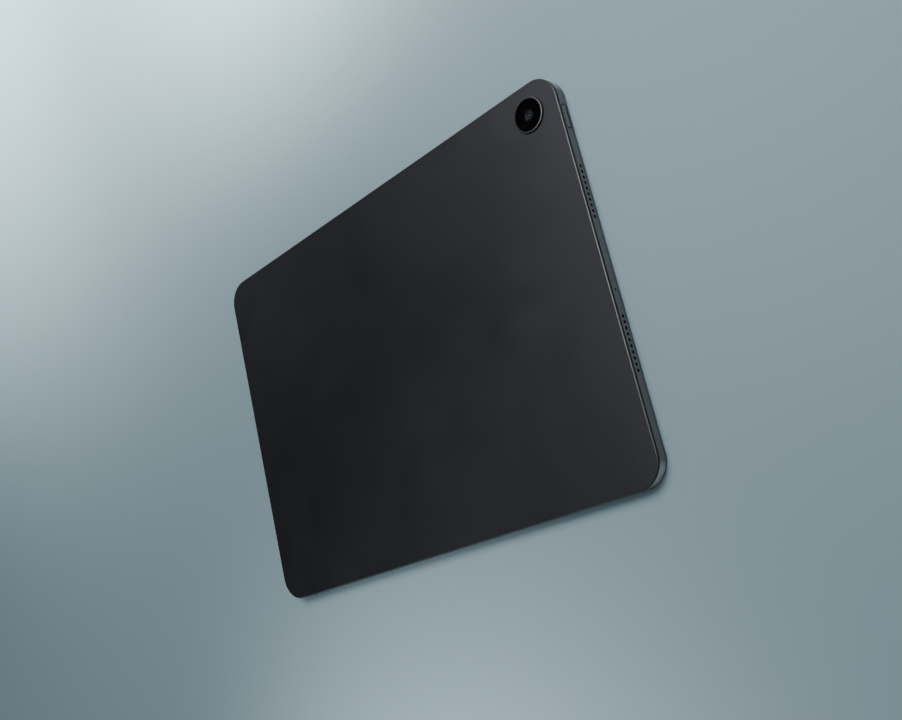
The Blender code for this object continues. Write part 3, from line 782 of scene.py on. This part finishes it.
coated, tree, shader = finish(
    "coated_element", Roughness=0.03, Coat_Weight=1.0, Coat_Roughness=0.02, Specular_IOR_Level=0.6,
)
bloom = noise(tree, 400.0, Detail=1.0)
feed(
    tree, shader,
    Base_Color=between(tree, bloom, (0.006, 0.008, 0.016, 1), (0.012, 0.008, 0.018, 1)),
)
bead_radius, bead_rise = 0.5 * MM, 0.15 * MM
element_radius = ring_inside - 0.03 * MM
shoulder_radius = ring_inside - 0.30 * MM
element_edge = lens_low.z + 0.08 * MM
shelf = lens_low.z + 0.16 * MM
steps = 64
levels = [
    (circle(element_radius, steps), lens_low.z),
    (circle(element_radius, steps), element_edge),
    (circle(shoulder_radius, steps), shelf - 0.03 * MM),
    (circle(bead_radius + 0.1 * MM, steps), shelf),
]
levels += [
    (circle(bead_radius * math.cos(turn), steps), shelf + bead_rise * math.sin(turn))
    for turn in (math.radians(angle) for angle in (0, 15, 30, 45, 60, 75, 86))
]
element = piece("camera_front_element", skin(levels), coated, camera_spot)
# The bead in the middle is pale grey: a painted highlight for the bright dot at the centre.
bead_painted_highlight, *_ = surfaced(
    "bead_painted_highlight", "handling", {"Specular_IOR_Level": 0.6, "Coat_Weight": 0.5},
    Colour=(0.085, 0.088, 0.10, 1), Roughness=0.30, Dust=0.0, Rub=0.05,
)
element.data.materials.append(bead_painted_highlight)
for face in element.data.polygons:
    face.material_index = int(face.center.z > shelf + 0.01 * MM)
shaded(element, 60)
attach(element, "tablet")
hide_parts("rear_camera_lens")

# --- Cover glass ----------------------------------------------------------------------------
# Strengthened glass, 0.65 mm thick, its rim ground to a soft curve and glued to the band's
# ledge. A black border is printed on its inside, round the lit area.
screen_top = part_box("cover_glass")[1].z
rim_flat = 1.0 * MM
rim_edge = 0.40 * MM
rim_height = 0.4 * MM
rim_break = 0.05 * MM
border_x, border_y = 125.1 * MM, 89.4 * MM
border_ink = (0.0025, 0.0025, 0.003, 1)
dark_cell, light_cell = (0.008, 0.009, 0.011, 1), (0.012, 0.013, 0.015, 1)
cells_per_metre = 2500.0

screen_glass, tree, shader = finish(
    "screen_glass", Coat_Weight=0.6, Coat_Roughness=0.02, Specular_IOR_Level=0.5
)
size_x, size_y = (maths(tree, "ABSOLUTE", along_axis(tree, axis)) for axis in "XY")
inside_x = maths(tree, "LESS_THAN", size_x, border_x)
inside_y = maths(tree, "LESS_THAN", size_y, border_y)
lit = maths(tree, "MULTIPLY", inside_x, inside_y)
picture = between(tree, noise(tree, cells_per_metre, Detail=0.0), dark_cell, light_cell)
touch = use(
    tree, "handling", Colour=between(tree, lit, border_ink, picture), Roughness=0.06,
    Dust=0.2, Rub=0.03,
)
feed(tree, shader, Base_Color=touch["Colour"], Roughness=touch["Roughness"])

levels = [
    (body_outline(rim_edge + (rim_flat - rim_edge) * (1 - math.sin(turn))),
     rim_height * (1 - math.cos(turn)))
    for turn in (math.radians(angle) for angle in (0, 15, 30, 45, 60, 75, 90))
]
levels.append((body_outline(rim_edge), screen_top - rim_break))
levels.append((body_outline(rim_edge + rim_break), screen_top))
screen = piece("screen_cover", skin(levels), screen_glass)
shaded(screen, 20)
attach(screen, "tablet")
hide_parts("cover_glass")

# --- Charging socket ------------------------------------------------------------------------
# A drawn steel shell with a rolled lip, and inside it a moulded tongue with gold contacts on
# both faces. It is soldered to the small board and looks out through the band.
socket_low, socket_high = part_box("usb_c_shell")
socket_wall = 0.3 * MM
mouth = (socket_low.x, 0.0, hole_axis)
depth = socket_high.x - socket_low.x
back_wall = 0.6 * MM
lip_rolling = ((0.0, 0.12), (0.05, 0.03), (0.12, 0.0))
mouth_flare, flare_depth = 0.06 * MM, 0.08 * MM
drawing_scale = (900.0, 9000.0, 9000.0)

drawn_steel, tree, shader = finish("drawn_steel", Metallic=1.0)
stretched = add(tree, "ShaderNodeMapping", {"Vector": spot(tree), "Scale": drawing_scale})
drawn = add(tree, "ShaderNodeTexNoise", {"Vector": stretched.outputs[0], "Scale": 1.0})
grain = drawn.outputs["Fac"]
feed(
    tree, shader, Roughness=ranged(tree, grain, wanted=(0.22, 0.42)),
    Base_Color=between(tree, grain, (0.30, 0.30, 0.31, 1), (0.42, 0.42, 0.43, 1)),
)

outer = (socket_length, socket_height)
inner = (socket_length - 2 * socket_wall, socket_height - 2 * socket_wall)
levels = [
    (pill(*outer), -depth),
    *((pill(*outer, -inset * MM), -drop * MM) for inset, drop in lip_rolling),
    (pill(*inner, mouth_flare), 0.0),
    (pill(*inner), -flare_depth),
    (pill(*inner), -depth + back_wall),
]
socket = piece("charging_socket_shell", skin(levels), drawn_steel, mouth, (-1, 0, 0))
shaded(socket)
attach(socket, "tablet")
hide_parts("usb_c_shell")

moulded, tree, shader, grain = surfaced(
    "black_moulding", "blasted grain", {"Specular_IOR_Level": 0.4},
    Dye=(0.015, 0.015, 0.016, 1), Gloss=0.5, Grain_Size=0.05,
)
feed(tree, shader, Normal=bumped(tree, grain["Height"], 0.4, 0.02 * MM))

tongue_low, tongue_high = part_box("usb_c_tongue")
tongue_half = (tongue_high.y - tongue_low.y) / 2
tongue_front = mouth[0] - tongue_low.x
tongue_back = mouth[0] - tongue_high.x
tongue_taper = 0.2 * MM
tongue_reach, tip_reach = 0.35 * MM, 0.18 * MM
tongue_corner, tip_corner = 0.12 * MM, 0.06 * MM
tongue_outline = rounded(tongue_half, tongue_reach, tongue_corner, 4)
levels = [
    (tongue_outline, tongue_back),
    (tongue_outline, tongue_front - tongue_taper),
    (rounded(tongue_half - tongue_taper, tip_reach, tip_corner, 4), tongue_front),
]
tongue = piece("charging_socket_tongue", skin(levels), moulded, mouth, (-1, 0, 0))
shaded(tongue)
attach(tongue, "tablet")
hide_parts("usb_c_tongue")

gold, *_ = surfaced(
    "gold_contacts", "blasted grain", {"Metallic": 1.0},
    Dye=(0.55, 0.36, 0.12, 1), Gloss=0.25, Grain_Size=0.05,
)
contacts = bmesh.new()
contacts_in_row = 12
contact_pitch = 0.5 * MM
contact_size = (0.26 * MM, 0.04 * MM, 3.0 * MM)
contact_rise = 0.36 * MM
contact_at = tongue_front - 2.0 * MM
for face in (1, -1):
    for number in range(contacts_in_row):
        along = (number - (contacts_in_row - 1) / 2) * contact_pitch
        made = bmesh.ops.create_cube(contacts, size=1.0)["verts"]
        bmesh.ops.scale(contacts, vec=contact_size, verts=made)
        bmesh.ops.translate(contacts, vec=(along, face * contact_rise, contact_at), verts=made)
contact_rows = piece("charging_socket_contacts", contacts, gold, mouth, (-1, 0, 0))
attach(contact_rows, "tablet")

# --- Dust mesh ------------------------------------------------------------------------------
# A strip of black woven steel wire lies behind each row of sound holes and keeps grit out of
# the speaker. It is die-cut from cloth and glued to the inside of the band.
wire_width = 0.02 * MM
woven, tree, shader = finish("woven_mesh", Metallic=0.8)
wires = [
    maths(tree, "SINE", maths(tree, "DIVIDE", along_axis(tree, axis), wire_width))
    for axis in "YZ"
]
weave = maths(tree, "MULTIPLY", *wires)
shade = ranged(tree, weave, both_ways, (0.002, 0.012))
black = add(tree, "ShaderNodeCombineColor", {"Red": shade, "Green": shade, "Blue": shade})
feed(
    tree, shader, Base_Color=black.outputs[0],
    Roughness=ranged(tree, weave, both_ways, (0.8, 0.5)),
    Normal=bumped(tree, weave, 0.6, 0.03 * MM),
)


def refinish(material, *names):
    """Gives CAD nodes whose shape stays their finished material."""
    for name in names:
        mesh = nodes[name].data
        mesh.materials.clear()
        mesh.materials.append(material)


corners = [f"{side}_{place}" for side in ("right", "left") for place in ("upper", "lower")]
refinish(woven, *(f"speaker_mesh_{corner}" for corner in corners))

# --- Mouldings ------------------------------------------------------------------------------
# The speaker boxes, the aerial carriers, the board sockets and the housings of the camera and
# the sensor on the screen side are injection moulded in black nylon.
refinish(moulded, *(f"speaker_{corner}" for corner in corners))
refinish(
    moulded, "antenna_left", "antenna_right", "display_connector", "battery_connector",
    "front_camera", "light_sensor",
)

# --- Screen stack ---------------------------------------------------------------------------
# Behind the glass are a foam gasket, the panel under its dark polariser film, the backlight
# in a pressed aluminium pan, and the stamped mid plate that carries the cells and the boards.
refinish(foam, "display_gasket")

polariser, *_ = surfaced(
    "polariser", "handling", {"Coat_Weight": 0.4, "Coat_Roughness": 0.1},
    Colour=(0.010, 0.011, 0.013, 1), Roughness=0.15, Rub=0.05,
)
refinish(polariser, "lcd_panel")

pressed = blasted("pressed_sheet", (0.46, 0.47, 0.48), 0.38, 0.3, 0.2, grain_size=0.2)
refinish(pressed, "backlight_unit", "mid_plate")

# --- Boards and cans ------------------------------------------------------------------------
# The boards are glass-fibre laminate with copper tracks under green resist. Tinned steel cans
# are soldered over their chips, and zinc-plated screws hold them to the mid plate.
resist, tree, shader = finish("board_resist", Specular_IOR_Level=0.5)
grid = add(
    tree, "ShaderNodeTexBrick",
    {"Vector": spot(tree), "Scale": 500.0, "Color1": (0.010, 0.075, 0.040, 1),
     "Color2": (0.014, 0.095, 0.052, 1), "Mortar": (0.006, 0.035, 0.020, 1),
     "Mortar Size": 0.05},
)
tracks = grid.outputs["Fac"]
feed(
    tree, shader, Base_Color=grid.outputs["Color"],
    Roughness=ranged(tree, tracks, wanted=(0.35, 0.55)),
    Normal=bumped(tree, tracks, 0.3, 0.03 * MM, invert=True),
)
refinish(resist, "main_board", "usb_board", "battery_board")

tinned = blasted("tinned_sheet", (0.56, 0.57, 0.58), 0.3, 0.15, 0.1, grain_size=0.3)
refinish(
    tinned, "processor_shield", "power_shield", "radio_shield", "microphone", "power_switch",
    "volume_up_switch", "volume_down_switch",
)
zinc = blasted("zinc_plate", (0.50, 0.50, 0.52), 0.32, 0.2, 0.0, grain_size=0.08)
refinish(zinc, *(name for name in nodes if name.startswith("board_screw_")))

# --- Cells, cables and heat spreader --------------------------------------------------------
# The cells are laminated foil pouches, glued down. The cables are amber polyimide ribbons
# with copper tracks, and a pressed graphite film over the board spreads its heat.
pouch, tree, shader = finish("cell_pouch", Metallic=0.7)
folds = noise(tree, 60.0, Detail=4.0)
feed(
    tree, shader, Roughness=ranged(tree, folds, wanted=(0.4, 0.6)),
    Base_Color=between(tree, folds, (0.12, 0.125, 0.13, 1), (0.2, 0.205, 0.21, 1)),
    Normal=bumped(tree, folds, 0.4, 0.3 * MM),
)
refinish(pouch, "battery_cell_left", "battery_cell_right")

amber, tree, shader = finish("amber_ribbon", Coat_Weight=0.3, Coat_Roughness=0.2)
wave = add(tree, "ShaderNodeTexWave", {"Vector": spot(tree), "Scale": 250.0, "Distortion": 0.0})
tracks = wave.outputs["Fac"]
feed(
    tree, shader, Roughness=ranged(tree, tracks, wanted=(0.5, 0.35)),
    Base_Color=between(tree, tracks, (0.22, 0.10, 0.018, 1), (0.40, 0.20, 0.05, 1)),
)
refinish(
    amber, "display_flex", "battery_flex", "board_link_flex", "rear_camera_flex", "power_flex",
    "volume_flex",
)

film = blasted("graphite_film", (0.03, 0.03, 0.032), 0.55, 0.3, 0.0, metallic=0.3, grain_size=0.3)
refinish(film, "heat_spreader")

# --- Studio ---------------------------------------------------------------------------------
# A plain pale floor, one large soft key beyond the camera's corner of the tablet, small lamps
# that even out the floor round it, and soft fill from a plain grey surround.
floor_reach = 12.0
floor_mesh = bmesh.new()
bmesh.ops.create_grid(floor_mesh, x_segments=1, y_segments=1, size=floor_reach)
pale, tree, shader = finish("pale_floor", Specular_IOR_Level=0.2, Roughness=0.75)
mottle = noise(tree, 3.0, Detail=2.0)
feed(
    tree, shader,
    Base_Color=between(tree, mottle, (0.355, 0.505, 0.565, 1), (0.375, 0.525, 0.585, 1)),
)
floor = piece("studio_floor", floor_mesh, pale)

surround = bpy.data.worlds.new("studio_surround")
surround.use_nodes = True
sky = surround.node_tree.nodes["Background"]
sky.inputs["Color"].default_value = (0.80, 0.90, 0.93, 1)
sky.inputs["Strength"].default_value = 0.14
bpy.context.scene.world = surround


def softbox(name, at, to, size, watts, spread=180, colour=(1, 1, 1)):
    """A square area light aimed at a point, its beam narrowed by a grid of that spread."""
    lamp = bpy.data.lights.new(name, "AREA")
    lamp.shape = "SQUARE"
    lamp.size = size
    lamp.energy = watts
    lamp.color = colour
    lamp.spread = math.radians(spread)
    stand = bpy.data.objects.new(name, lamp)
    bpy.context.scene.collection.objects.link(stand)
    stand.location = at
    stand.rotation_euler = (Vector(to) - Vector(at)).to_track_quat("-Z", "Y").to_euler()


softbox(
    "key_light", (0.155, 0.48, 1.10), (0.03, 0.05, 0), size=0.7, watts=7.7,
    colour=(1.0, 0.99, 0.97),
)
softbox("edge_card", (0.95, 0.35, 1.15), (0.1, 0, 0), size=0.8, watts=0.06)
softbox(
    "backdrop_light", (-0.36, 0.64, 0.95), (-0.38, 0.62, 0), size=0.30, watts=4.5, spread=58
)
softbox("side_light", (0.26, 0.20, 0.60), (0.22, 0.16, 0), size=0.25, watts=0.14, spread=60)
softbox("front_light", (-0.04, -0.28, 0.85), (-0.04, -0.28, 0), size=0.2, watts=0.20, spread=26)
softbox("far_light", (-0.02, 0.37, 0.85), (-0.02, 0.37, 0), size=0.2, watts=0.78, spread=26)
